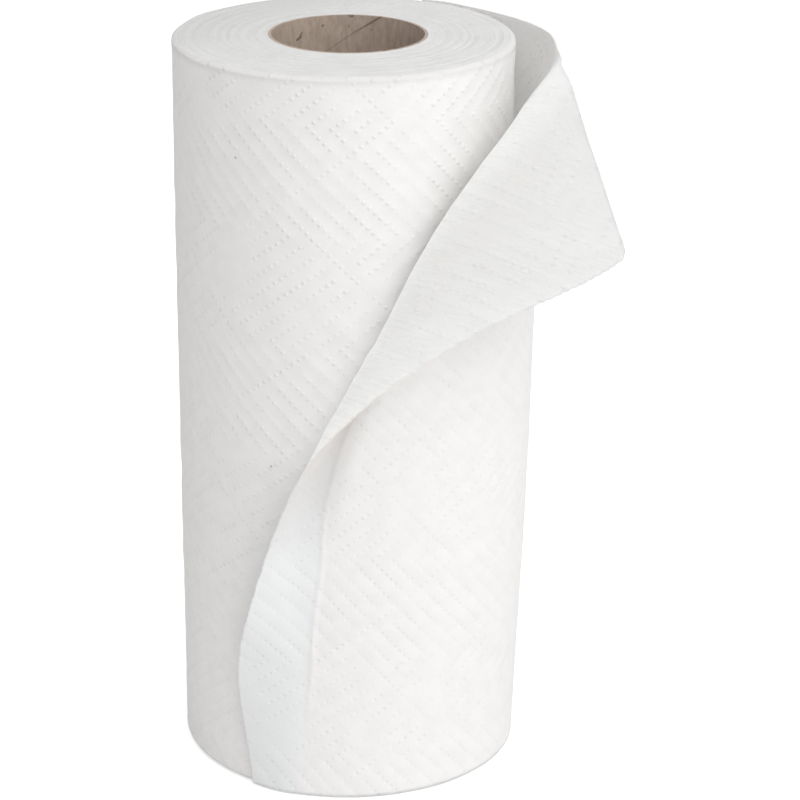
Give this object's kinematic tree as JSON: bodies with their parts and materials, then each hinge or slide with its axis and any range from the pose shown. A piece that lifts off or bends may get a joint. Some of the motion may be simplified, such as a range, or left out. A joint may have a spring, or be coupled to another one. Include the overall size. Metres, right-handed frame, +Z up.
{
  "type": "paper towel roll",
  "caption": "Embossed white paper towel wound on a spiral cardboard tube, with the loose end turned back in a flap.",
  "frame": {"origin": "on the axis of the core, at the foot of the roll", "axes": "+Z up along the core's axis, -Y towards the front, +X towards the turned back flap"},
  "size_m": [0.1298, 0.1206, 0.225],
  "materials": {
    "card": "matte grey-brown board",
    "paper": "matte white embossed tissue"
  },
  "bodies": {
    "root": {"core_tube": "card", "towel_roll": "paper"}
  },
  "joints": []
}
